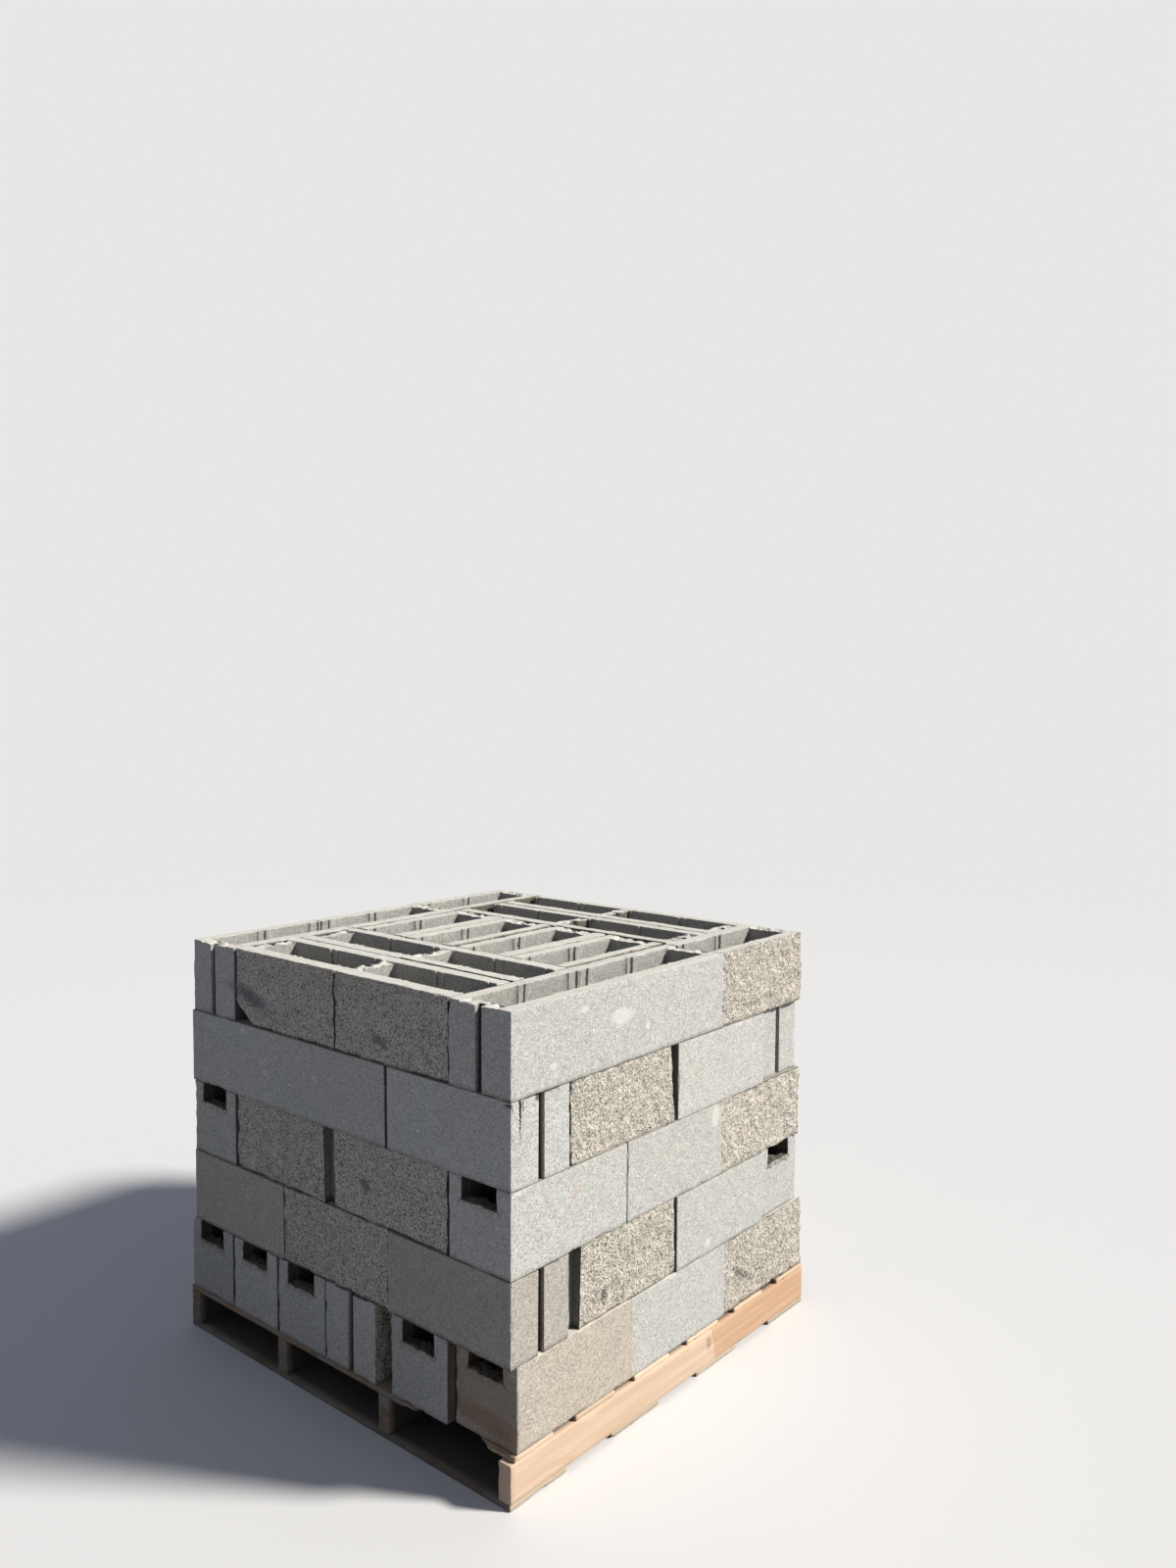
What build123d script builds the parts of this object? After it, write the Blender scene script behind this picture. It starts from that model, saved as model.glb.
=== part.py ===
"""A loaded pallet: five courses of hollow bond-beam blocks on a four-stringer timber pallet.

Millimetres. +X runs left to right along the front, +Y runs to the back and +Z is up. The origin is
on the ground at the middle of the pallet's footprint.
"""
from build123d import *
from math import radians, tan
import os

# One block: a nominal 8 x 8 x 16 inch unit, with a groove in one end and the other end's web cut low.
# It is two widths and a mortar joint long, so that blocks laid across each other keep to one grid.
BLOCK_WIDTH = 193.7
BLOCK_HEIGHT = 193.7
MORTAR_JOINT = 9.5
FACE_SHELL = 38.0
END_WEB = 38.0
CENTRE_WEB = 30.0
CORE_CORNER = 8.0
CORE_DRAFT = 1.5
WEB_DROP = 55.0
WEB_STUB = 3.0
GROOVE_WIDTH = 19.0
GROOVE_DEPTH = 16.0

# Two blocks have a rebate down one upright corner, and one has a wedge broken from a lower corner
REBATE_ALONG = 36.0
REBATE_INTO = 28.0
LOW_CHIP_ALONG = 64.0
LOW_CHIP_HEIGHT = 54.0
LOW_CHIP_INTO = 26.0

# The pallet: boards run left to right, stringers front to back
PALLET_WIDTH = 1219.2
PALLET_DEPTH = 1219.2
STRINGER_WIDTH = 38.1
STRINGER_HEIGHT = 88.9
STRINGER_COUNT = 4
BOARD_THICKNESS = 12.7
DECK_BOARD_WIDTH = 139.7
DECK_BOARD_COUNT = 6
BOTTOM_BOARD_WIDTH = 184.2
BOTTOM_BOARD_COUNT = 4

# The front deck board's front edge is split off towards the right end, as distances from that end
SPLIT_START = 330.0
SPLIT_FULL = 262.0
SPLIT_STEP = 160.0
SPLIT_STEP_RUN = 24.0
SPLIT_DEPTH = 74.0
SPLIT_END_DEPTH = 24.0

# Joints between blocks, and the stack's margins on the pallet
TIGHT_JOINT = 1.5
LOOSE_JOINT = 5.6
OPEN_JOINT = 46.0
FRONT_MARGIN = 2.5
RIGHT_MARGIN = 2.5

# Rows that stand out of line
TOP_LEFT_IN = 2.0
TOP_ROWS_BACK = 10.0
CORNER_COLUMN_BACK = 21.0
FOURTH_BACK_ROW_IN = 20.0
SECOND_BACK_ROW_IN = 12.0

BLOCK_LENGTH = 2 * BLOCK_WIDTH + MORTAR_JOINT
PALLET_HEIGHT = 2 * BOARD_THICKNESS + STRINGER_HEIGHT
STACK_SPAN = 3 * BLOCK_LENGTH + 2 * TIGHT_JOINT
STACK_RIGHT = PALLET_WIDTH / 2 - RIGHT_MARGIN
STACK_LEFT = STACK_RIGHT - STACK_SPAN
STACK_FRONT = FRONT_MARGIN - PALLET_DEPTH / 2
CORE_WIDTH = BLOCK_WIDTH - 2 * FACE_SHELL
CORE_LENGTH = (BLOCK_LENGTH - 2 * END_WEB - CENTRE_WEB) / 2
CORE_OFFSET = (CORE_LENGTH + CENTRE_WEB) / 2

# Turns of a block about Z, named by the way its grooved end points
GROOVE_LEFT = 0
GROOVE_FRONT = 90
GROOVE_RIGHT = 180
GROOVE_BACK = 270


def make_core(corner):
    """The space of one core, about the origin: a frustum that narrows upwards to the stated size."""
    flare = BLOCK_HEIGHT * tan(radians(CORE_DRAFT))
    frustum = Wedge(
        CORE_LENGTH + 2 * flare,
        BLOCK_HEIGHT,
        CORE_WIDTH + 2 * flare,
        flare,
        flare,
        CORE_LENGTH + flare,
        CORE_WIDTH + flare,
    )
    if corner:
        slanted = [edge for edge in frustum.edges() if abs((edge @ 1).Y - (edge @ 0).Y) > BLOCK_HEIGHT / 2]
        frustum = fillet(slanted, corner)
    return Rot(90, 0, 0) * frustum


def make_block(core_corner):
    """A block along X, its grooved end at -X, its base at Z = 0 and its middle on the Z axis. The shells
    and webs are thickest at the top, where the cores have their stated size."""
    core = make_core(core_corner)
    with BuildPart() as block:
        with BuildSketch():
            Rectangle(BLOCK_LENGTH, BLOCK_WIDTH)
            with Locations((-BLOCK_LENGTH / 2, 0)):
                Rectangle(2 * GROOVE_DEPTH, GROOVE_WIDTH, mode=Mode.SUBTRACT)
        extrude(amount=BLOCK_HEIGHT)
        with Locations((-CORE_OFFSET, 0, BLOCK_HEIGHT / 2), (CORE_OFFSET, 0, BLOCK_HEIGHT / 2)):
            add(core, mode=Mode.SUBTRACT)
        # The centre web and the plain end web are knocked out low, and leave a stub on each shell
        cut_length = BLOCK_LENGTH - END_WEB - CORE_LENGTH / 2
        cut_width = CORE_WIDTH - 2 * WEB_STUB
        with Locations((BLOCK_LENGTH / 2, 0, BLOCK_HEIGHT)):
            Box(
                cut_length,
                cut_width,
                WEB_DROP,
                align=(Align.MAX, Align.CENTER, Align.MAX),
                mode=Mode.SUBTRACT,
            )
    return block.part


def rebate_corner(block, side):
    """The block with a rebate down the upright corner of its plain end, on the side of this sign in Y."""
    upright = Box(2 * REBATE_ALONG, 2 * REBATE_INTO, BLOCK_HEIGHT, align=(Align.CENTER, Align.CENTER, Align.MIN))
    return block - Pos(BLOCK_LENGTH / 2, side * BLOCK_WIDTH / 2, 0) * upright


def chip_lower_corner(block):
    """The block without a wedge of the lower corner where its grooved end meets its -Y face."""
    corner_x = -BLOCK_LENGTH / 2
    corner_y = -BLOCK_WIDTH / 2
    wedge = Polyline(
        (corner_x, corner_y, 0),
        (corner_x + LOW_CHIP_ALONG, corner_y, 0),
        (corner_x, corner_y, LOW_CHIP_HEIGHT),
        close=True,
    )
    return block - extrude(make_face(wedge), LOW_CHIP_INTO, dir=(0, 1, 0))


def run(start, sizes, joints):
    """The middles of pieces laid in a line from start, with a joint after each piece but the last."""
    middles = []
    edge = start
    for size, joint in zip(sizes, joints + [0.0]):
        middles.append(edge + size / 2)
        edge += size + joint
    return middles


def even_joints(span, sizes):
    """The joints that spread pieces of these sizes evenly over a span."""
    spaces = len(sizes) - 1
    return [(span - sum(sizes)) / spaces] * spaces


def write_blocks(name, course, spots, blocks):
    """One file for a group of blocks of one course, each at its (x, y, turn)."""
    level = PALLET_HEIGHT + (course - 1) * BLOCK_HEIGHT
    solids = [Pos(x, y, level) * Rot(0, 0, turn) * block for (x, y, turn), block in zip(spots, blocks)]
    export_step(Compound(children=solids), f"parts/course_{course}_{name}.step")


def write_columned_course(course, indent, setback, turns, blocks, outer_joints):
    """A course of 18 with a column of three at the left and the right. Between them lie two rows of
    two at the front and the back, and four blocks side by side in the middle."""
    widths = [BLOCK_WIDTH, BLOCK_LENGTH, BLOCK_LENGTH, BLOCK_WIDTH]
    left, first, second, right = run(STACK_LEFT + indent, widths, outer_joints)
    column = run(STACK_FRONT, [BLOCK_LENGTH] * 3, [TIGHT_JOINT] * 2)
    depths = [BLOCK_WIDTH, BLOCK_WIDTH, BLOCK_LENGTH, BLOCK_WIDTH, BLOCK_WIDTH]
    rows = run(STACK_FRONT + setback, depths, even_joints(STACK_SPAN - setback, depths))
    inner_start = first - BLOCK_LENGTH / 2
    inner_span = second + BLOCK_LENGTH / 2 - inner_start
    inner_widths = [BLOCK_WIDTH] * 4
    inner = run(inner_start, inner_widths, even_joints(inner_span, inner_widths))
    groups = {
        "left_column": [(left, y) for y in column],
        "right_column": [(right, y) for y in column],
        "front_rows": [(x, y) for y in rows[:2] for x in (first, second)],
        "middle_blocks": [(x, rows[2]) for x in inner],
        "back_rows": [(x, y) for y in rows[3:] for x in (first, second)],
    }
    for name, places in groups.items():
        spots = [(x, y, turn) for (x, y), turn in zip(places, turns[name])]
        write_blocks(name, course, spots, blocks.get(name, [blocks["whole"]] * len(spots)))


def write_rowed_course(course, back_row_in, turns, blocks, front_joints):
    """A course of 18 with a row of three at the front and the back. Between them lie two columns of
    two at the left and the right, and four blocks one behind the other in the middle."""
    front_length = 3 * BLOCK_LENGTH + sum(front_joints)
    front_row = run(STACK_RIGHT - front_length, [BLOCK_LENGTH] * 3, front_joints)
    back_row = run(STACK_LEFT - back_row_in, [BLOCK_LENGTH] * 3, [TIGHT_JOINT] * 2)
    depths = [BLOCK_WIDTH, BLOCK_LENGTH, BLOCK_LENGTH, BLOCK_WIDTH]
    front, near, far, back = run(STACK_FRONT, depths, even_joints(STACK_SPAN, depths))
    widths = [BLOCK_WIDTH, BLOCK_WIDTH, BLOCK_LENGTH, BLOCK_WIDTH, BLOCK_WIDTH]
    columns = run(STACK_LEFT, widths, even_joints(STACK_SPAN, widths))
    inner_start = near - BLOCK_LENGTH / 2
    inner_span = far + BLOCK_LENGTH / 2 - inner_start
    inner_depths = [BLOCK_WIDTH] * 4
    inner = run(inner_start, inner_depths, even_joints(inner_span, inner_depths))
    groups = {
        "front_row": [(x, front) for x in front_row],
        "back_row": [(x, back) for x in back_row],
        "left_columns": [(x, y) for x in columns[:2] for y in (near, far)],
        "middle_blocks": [(columns[2], y) for y in inner],
        "right_columns": [(x, y) for x in columns[3:] for y in (near, far)],
    }
    for name, places in groups.items():
        spots = [(x, y, turn) for (x, y), turn in zip(places, turns[name])]
        write_blocks(name, course, spots, blocks.get(name, [blocks["whole"]] * len(spots)))


def write_first_course(block):
    """Six columns of three, all front to back, with one open joint between the fourth and the fifth."""
    joints = [TIGHT_JOINT, TIGHT_JOINT, TIGHT_JOINT, OPEN_JOINT, TIGHT_JOINT]
    width = 6 * BLOCK_WIDTH + sum(joints)
    columns = run(STACK_RIGHT - width, [BLOCK_WIDTH] * 6, joints)
    front_turns = [GROOVE_BACK, GROOVE_BACK, GROOVE_BACK, GROOVE_FRONT, GROOVE_BACK, GROOVE_BACK]
    for number, (x, front_turn) in enumerate(zip(columns, front_turns), start=1):
        setback = CORNER_COLUMN_BACK if number == len(columns) else 0.0
        places = run(STACK_FRONT + setback, [BLOCK_LENGTH] * 3, [TIGHT_JOINT] * 2)
        turns = [front_turn, GROOVE_BACK, GROOVE_BACK]
        spots = [(x, y, turn) for y, turn in zip(places, turns)]
        write_blocks(f"column_{number}", 1, spots, [block] * 3)


def write_pallet():
    """Four stringers on edge between the bottom boards and the deck boards."""
    stringer_places = run(
        -PALLET_WIDTH / 2,
        [STRINGER_WIDTH] * STRINGER_COUNT,
        even_joints(PALLET_WIDTH, [STRINGER_WIDTH] * STRINGER_COUNT),
    )
    for number, x in enumerate(stringer_places, start=1):
        stringer = Box(STRINGER_WIDTH, PALLET_DEPTH, STRINGER_HEIGHT, align=(Align.CENTER, Align.CENTER, Align.MIN))
        export_step(Pos(x, 0, BOARD_THICKNESS) * stringer, f"parts/stringer_{number}.step")
    write_boards("bottom_board", BOTTOM_BOARD_COUNT, BOTTOM_BOARD_WIDTH, 0.0)
    write_boards("deck_board", DECK_BOARD_COUNT, DECK_BOARD_WIDTH, BOARD_THICKNESS + STRINGER_HEIGHT)


def write_boards(name, count, width, level):
    """Evenly spaced boards over the pallet's depth, with their undersides at this level."""
    places = run(-PALLET_DEPTH / 2, [width] * count, even_joints(PALLET_DEPTH, [width] * count))
    for number, y in enumerate(places, start=1):
        board = Box(PALLET_WIDTH, width, BOARD_THICKNESS, align=(Align.CENTER, Align.CENTER, Align.MIN))
        if name == "deck_board" and number == 1:
            board -= split_off_edge(width)
        export_step(Pos(0, y, level) * board, f"parts/{name}_{number}.step")


def split_off_edge(width):
    """What is gone from the front deck board: a long sliver that deepens and then steps back out."""
    right = PALLET_WIDTH / 2
    front = -width / 2
    outline = Polyline(
        (right - SPLIT_START, front),
        (right - SPLIT_FULL, front + SPLIT_DEPTH),
        (right - SPLIT_STEP, front + SPLIT_DEPTH),
        (right - SPLIT_STEP + SPLIT_STEP_RUN, front + SPLIT_END_DEPTH),
        (right, front + SPLIT_END_DEPTH),
        (right, front),
        close=True,
    )
    return extrude(make_face(outline), BOARD_THICKNESS, dir=(0, 0, 1))


def write_courses():
    """The five courses, from the pallet up: one of columns only, then two kinds by turns."""
    whole = make_block(0.0)
    write_first_course(whole)
    rowed_turns = {
        "front_row": [GROOVE_LEFT, GROOVE_LEFT, GROOVE_RIGHT],
        "left_columns": [GROOVE_BACK] * 4,
        "right_columns": [GROOVE_BACK] * 4,
        "middle_blocks": [GROOVE_LEFT] * 4,
        "back_row": [GROOVE_RIGHT] * 3,
    }
    columned_turns = {
        "left_column": [GROOVE_BACK] * 3,
        "right_column": [GROOVE_BACK] * 3,
        "front_rows": [GROOVE_LEFT] * 4,
        "middle_blocks": [GROOVE_BACK] * 4,
        "back_rows": [GROOVE_RIGHT] * 4,
    }
    second_blocks = {"whole": whole, "right_columns": [whole, whole, rebate_corner(whole, 1), whole]}
    second_turns = {**rowed_turns, "back_row": [GROOVE_LEFT] * 3}
    write_rowed_course(2, SECOND_BACK_ROW_IN, second_turns, second_blocks, [TIGHT_JOINT] * 2)
    third_blocks = {"whole": whole, "front_rows": [rebate_corner(whole, -1), whole, whole, whole]}
    widths = [BLOCK_WIDTH, BLOCK_LENGTH, BLOCK_LENGTH, BLOCK_WIDTH]
    write_columned_course(3, 0.0, 0.0, columned_turns, third_blocks, even_joints(STACK_SPAN, widths))
    write_rowed_course(4, FOURTH_BACK_ROW_IN, rowed_turns, {"whole": whole}, [TIGHT_JOINT, LOOSE_JOINT])
    rounded = make_block(CORE_CORNER)
    fifth_blocks = {"whole": rounded, "front_rows": [chip_lower_corner(rounded), rounded, rounded, rounded]}
    fifth_turns = {
        **columned_turns,
        "left_column": [GROOVE_FRONT, GROOVE_BACK, GROOVE_BACK],
        "right_column": [GROOVE_FRONT, GROOVE_BACK, GROOVE_BACK],
    }
    fifth_joints = even_joints(STACK_SPAN - TOP_LEFT_IN - LOOSE_JOINT, widths)
    fifth_joints[0] += LOOSE_JOINT
    write_columned_course(5, TOP_LEFT_IN, TOP_ROWS_BACK, fifth_turns, fifth_blocks, fifth_joints)


os.makedirs("parts", exist_ok=True)
write_pallet()
write_courses()
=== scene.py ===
"""The looks of a loaded pallet of concrete blocks: detailed blocks and boards over the CAD frame."""
import math
import bmesh
import bpy
import numpy as np
from mathutils import Matrix, Vector


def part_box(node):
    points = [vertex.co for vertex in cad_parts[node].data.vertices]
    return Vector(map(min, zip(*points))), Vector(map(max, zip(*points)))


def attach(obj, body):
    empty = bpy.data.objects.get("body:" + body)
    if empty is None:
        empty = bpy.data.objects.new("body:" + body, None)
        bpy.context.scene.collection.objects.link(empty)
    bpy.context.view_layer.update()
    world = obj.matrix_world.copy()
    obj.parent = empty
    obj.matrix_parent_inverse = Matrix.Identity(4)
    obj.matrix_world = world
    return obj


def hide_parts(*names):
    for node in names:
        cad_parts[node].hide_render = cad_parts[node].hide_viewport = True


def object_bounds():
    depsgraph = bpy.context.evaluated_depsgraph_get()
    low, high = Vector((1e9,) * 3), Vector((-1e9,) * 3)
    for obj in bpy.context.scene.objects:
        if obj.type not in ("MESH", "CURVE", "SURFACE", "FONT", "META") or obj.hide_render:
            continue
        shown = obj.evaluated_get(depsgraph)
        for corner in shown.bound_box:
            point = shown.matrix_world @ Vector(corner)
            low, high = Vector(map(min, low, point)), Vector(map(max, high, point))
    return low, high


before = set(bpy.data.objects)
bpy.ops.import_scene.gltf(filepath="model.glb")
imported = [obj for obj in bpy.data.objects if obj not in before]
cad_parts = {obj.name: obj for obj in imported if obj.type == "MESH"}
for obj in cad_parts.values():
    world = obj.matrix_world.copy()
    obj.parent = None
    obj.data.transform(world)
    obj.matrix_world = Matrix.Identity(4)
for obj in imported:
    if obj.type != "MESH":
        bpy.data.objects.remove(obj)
cad_low, cad_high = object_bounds()

# One block, in millimetres, about its own middle: X along, Z up, the grooved end at -X
LENGTH = 396.9
WIDTH = 193.7
HEIGHT = 193.7
SHELL = 38.0
END_WEB = 38.0
CENTRE_WEB = 30.0
CORE_SIDE = WIDTH / 2 - SHELL
CORE_LENGTH = (LENGTH - 2 * END_WEB - CENTRE_WEB) / 2
CORES = ((END_WEB - LENGTH / 2, -CENTRE_WEB / 2), (CENTRE_WEB / 2, LENGTH / 2 - END_WEB))
WEB_DROP = 55.0
GROOVE_WIDTH = 19.0
GROOVE_DEPTH = 16.0
DRAFT = math.tan(math.radians(1.5))
CORE_RADIUS = 11.0

# What is left of a knocked-out web on a shell: two thin ridges with a rough hollow between them
RIDGE = 5.0
RIDGE_WIDTH = 7.0

# How near to a face in millimetres a point has to be to count as on it
NEAR = 0.1

# Steps of the block's mesh, and how far behind a face a change to it is still felt
COARSE_STEP = CORE_LENGTH / 8
EDGE_STEP = 3.5
CHANGE_DEPTH = 26.0

TOP_COURSE = 5
FACING = {"front": (0, -1), "back": (0, 1), "left": (-1, 0), "right": (1, 0)}
LEFT, FRONT, RIGHT, BACK = 0, 90, 180, 270

# Each node's blocks from front to back and left to right: where the grooved end points, and which
# side is split. A block with no split side named shows neither long side.
LAYOUT = {
    "course_1_column_1": ((BACK, "left"), (BACK, "right"), (BACK, "left")),
    "course_1_column_2": ((BACK, "left"), (BACK, ""), (BACK, "")),
    "course_1_column_3": ((BACK, "left"), (BACK, ""), (BACK, "")),
    "course_1_column_4": ((FRONT, "right"), (BACK, "right"), (BACK, "right")),
    "course_1_column_5": ((BACK, "left"), (BACK, "right"), (BACK, "right")),
    "course_1_column_6": ((BACK, "left"), (BACK, "left"), (BACK, "right")),
    "course_2_front_row": ((LEFT, "back"), (LEFT, "front"), (RIGHT, "back")),
    "course_2_back_row": ((LEFT, "back"), (LEFT, "front"), (LEFT, "front")),
    "course_2_left_columns": ((BACK, "right"), (BACK, ""), (BACK, "left"), (BACK, "")),
    "course_2_right_columns": ((BACK, ""), (BACK, "right"), (BACK, ""), (BACK, "left")),
    "course_3_left_column": ((BACK, "left"), (BACK, "right"), (BACK, "right")),
    "course_3_right_column": ((BACK, "left"), (BACK, "left"), (BACK, "right")),
    "course_3_front_rows": ((LEFT, "front"), (LEFT, "front"), (LEFT, ""), (LEFT, "")),
    "course_3_back_rows": ((RIGHT, ""), (RIGHT, ""), (RIGHT, "front"), (RIGHT, "back")),
    "course_4_front_row": ((LEFT, "back"), (LEFT, "back"), (RIGHT, "back")),
    "course_4_back_row": ((RIGHT, "front"), (RIGHT, "back"), (RIGHT, "front")),
    "course_4_left_columns": ((BACK, "left"), (BACK, ""), (BACK, "right"), (BACK, "")),
    "course_4_right_columns": ((BACK, ""), (BACK, "right"), (BACK, ""), (BACK, "left")),
    "course_5_left_column": ((FRONT, "left"), (BACK, "left"), (BACK, "right")),
    "course_5_right_column": ((FRONT, "left"), (BACK, "left"), (BACK, "right")),
    "course_5_front_rows": ((LEFT, "front"), (LEFT, "front"), (LEFT, "back"), (LEFT, "front")),
    "course_5_middle_blocks": ((BACK, "left"), (BACK, "right"), (BACK, "left"), (BACK, "right")),
    "course_5_back_rows": ((RIGHT, "back"), (RIGHT, "front"), (RIGHT, "back"), (RIGHT, "back")),
}

# Blocks of a browner mix or with dirt on them: node, block, how brown
BROWN = {
    ("course_2_front_row", 0): 0.55,
    ("course_2_front_row", 2): 0.42,
    ("course_1_column_6", 0): 0.7,
    ("course_2_right_columns", 1): 0.25,
    ("course_1_column_2", 2): 0.5,
    ("course_2_back_row", 1): 0.6,
    ("course_4_left_columns", 2): 0.45,
    ("course_3_back_rows", 3): 0.35,
}

# Blocks of a darker mix, by how much
DARKER = {
    ("course_2_front_row", 0): 0.03,
    ("course_2_front_row", 2): 0.14,
    ("course_1_column_1", 0): 0.12,
    ("course_1_column_3", 0): 0.05,
    ("course_1_column_5", 0): 0.17,
}

# A block's side shows if it is this near to the outside of the stack, or in the open joint
NEAR_OUTSIDE = 0.07
OPEN_RIGHT = {("course_1_column_4", 0)}

# Blocks with a rebate down a corner of their plain end, with the sign of its side in Y, and the one with a
# wedge gone from a low corner. Next to a rebate the broken face evens out to the relief given.
REBATED = {("course_2_right_columns", 1): 1, ("course_3_front_rows", 0): -1}
REBATE_ALONG = 36.0
REBATE_INTO = 28.0
REBATE_RELIEF = 4.0
REBATE_FADE = 12.0
LOW_CORNER = ("course_5_front_rows", 0)
LOW_CORNER_ALONG = 80.0
LOW_CORNER_HEIGHT = 56.0

# How far a broken or worn corner reaches into its block from its face, over how much of that it fades out,
# and how far along the block a worn one reaches
BROKEN_INTO = 36.0
BROKEN_FADE = 12.0
WORN_ALONG = 60.0

# Blocks with a corner worn back down its height: the signs of its X and Y, and how far at its foot and top
WORN_CORNER = {
    ("course_4_right_columns", 1): (-1, 1, 4.0, 20.0),
    ("course_4_front_row", 1): (1, -1, 1.0, 2.5),
    ("course_5_front_rows", 1): (-1, -1, 0.5, 2.0),
}

# Split blocks in a row that stands back, whose broken faces come further forward than their moulded form
PROUD = {("course_5_front_rows", 0): 9.5, ("course_5_front_rows", 1): 9.5}

# Blocks pushed up close to the next one along: the sign in X of the end that meets it, and how far
CLOSED_UP = {
    ("course_5_right_column", 0): (1, 0.6),
    ("course_5_right_column", 1): (1, 0.6),
    ("course_4_front_row", 0): (1, 0.6),
    ("course_4_front_row", 1): (-1, 0.6),
    ("course_2_front_row", 0): (1, 0.6),
    ("course_2_front_row", 1): (-1, 0.6),
    ("course_5_front_rows", 0): (-1, 3.0),
    ("course_1_column_6", 0): (-1, 0.6),
    ("course_1_column_6", 1): (1, 0.6),
}

# How far the sharp edges of such an end reach along the block, and how far from its foot and top they start
SHARP_ALONG = 9.0
SHARP_FROM = 6.0

# How dark the painted shadow line is under the blocks of each course, at the front and at the other sides,
# and how far up their foot it reaches on a moulded face and on a split one
BED_LINES = {1: (0.4, 0.5), 2: (1.0, 0.8), 3: (1.0, 0.4), 4: (0.5, 0.35), 5: (1.0, 0.7)}
LINE_REACH = 3.6
SPLIT_LINE_REACH = 5.6

# How dark the painted shade is elsewhere, 1 at its darkest. In the top course's cores it is given at foot
# and top.
UNDER_COURSE_SHADE = 0.7
MET_SIDE_SHADE = 0.85
REBATE_SHADE = 0.64
CORE_SHADE = 0.9
TOP_CORE_SHADE = (0.64, 0.30)

# How far in from the end and the foot the mouth of a groove or a rebate reaches
MOUTH = 4.0

# Kinds of mark on the blocks: how strong, how soft at the edge, how ragged, and the colour
MARK_KINDS = {
    "pale": (0.7, 0.35, 0.5, (0.80, 0.78, 0.72)),
    "pink": (0.6, 0.35, 0.5, (0.68, 0.50, 0.42)),
    "mud": (0.6, 0.35, 0.5, (0.30, 0.225, 0.165)),
    "rust": (0.5, 0.35, 0.5, (0.26, 0.165, 0.10)),
    "tan": (0.5, 0.35, 0.5, (0.62, 0.47, 0.33)),
    "smudge": (0.85, 0.8, 0.9, (0.20, 0.215, 0.25)),
    "chip_shade": (0.85, 0.2, 0.5, (0.09, 0.08, 0.06)),
}

# The marks: kind, middle and half sizes in metres, and how steeply some run down. The near block of the
# first course is dirty at the front and tan at its far end. The chip marks are painted shade: dark patches
# where small bites out of the edges lie in shade.
MARKS = (
    ("pale", (0.607, -0.2345, 1.0025), (0.03, 0.040, 0.020)),
    ("pale", (0.607, -0.473, 0.938), (0.03, 0.011, 0.008)),
    ("pale", (0.607, -0.368, 1.043), (0.03, 0.013, 0.007)),
    ("pale", (0.607, -0.133, 0.960), (0.03, 0.009, 0.009)),
    ("pale", (0.607, 0.126, 0.339), (0.03, 0.012, 0.010)),
    ("pale", (0.607, 0.157, 0.662), (0.03, 0.016, 0.026)),
    ("pale", (-0.357, -0.607, 0.871), (0.012, 0.03, 0.008)),
    ("pale", (-0.058, -0.607, 0.807), (0.010, 0.03, 0.009)),
    ("pale", (-0.260, -0.607, 0.779), (0.013, 0.03, 0.007)),
    ("pink", (0.607, -0.396, 0.636), (0.03, 0.014, 0.009)),
    ("mud", (0.510, -0.5865, 0.205), (0.120, 0.010, 0.120)),
    ("rust", (0.510, -0.5865, 0.160), (0.110, 0.010, 0.022)),
    ("rust", (0.570, -0.5865, 0.135), (0.050, 0.010, 0.020)),
    ("tan", (0.607, -0.198, 0.205), (0.03, 0.009, 0.110)),
    ("smudge", (-0.330, -0.600, 0.963), (0.070, 0.05, 0.020), 0.30),
    ("smudge", (0.180, -0.600, 0.942), (0.026, 0.05, 0.012), 0.25),
    ("smudge", (0.130, -0.600, 0.587), (0.016, 0.05, 0.016), 0.2),
    # Painted shade of small bites out of the edges, near the top of the fourth course's near block
    ("chip_shade", (0.607, -0.5235, 0.883), (0.03, 0.007, 0.0085)),
    ("chip_shade", (0.607, -0.604, 0.881), (0.03, 0.003, 0.006)),
    ("chip_shade", (0.607, -0.600, 0.871), (0.03, 0.002, 0.005)),
    ("chip_shade", (0.607, -0.569, 0.880), (0.03, 0.003, 0.006)),
    ("chip_shade", (0.607, -0.568, 0.868), (0.03, 0.0025, 0.007)),
    ("chip_shade", (0.607, -0.576, 0.828), (0.03, 0.0025, 0.0025)),
)

# Patches of deep pits between the grains: middle, half sizes and slope
PITTED = (
    ((0.607, -0.290, 0.357), (0.03, 0.009, 0.024), 0.0),
    ((0.607, 0.300, 0.190), (0.03, 0.050, 0.012), 0.6),
)
PIT_SHADE = (0.085, 0.08, 0.075)
CRACK_SHADE = (0.02, 0.018, 0.015)
# The colour of the painted shade in the grooves, rebates, cores and joints
JOINT_SHADE = (0.075, 0.066, 0.048)
DUST = (0.75, 0.725, 0.65)

# The fresher wood that shows at the boards' sawn ends
DECK_END = (0.80, 0.60, 0.44)
BOTTOM_END = (0.62, 0.52, 0.40)

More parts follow.
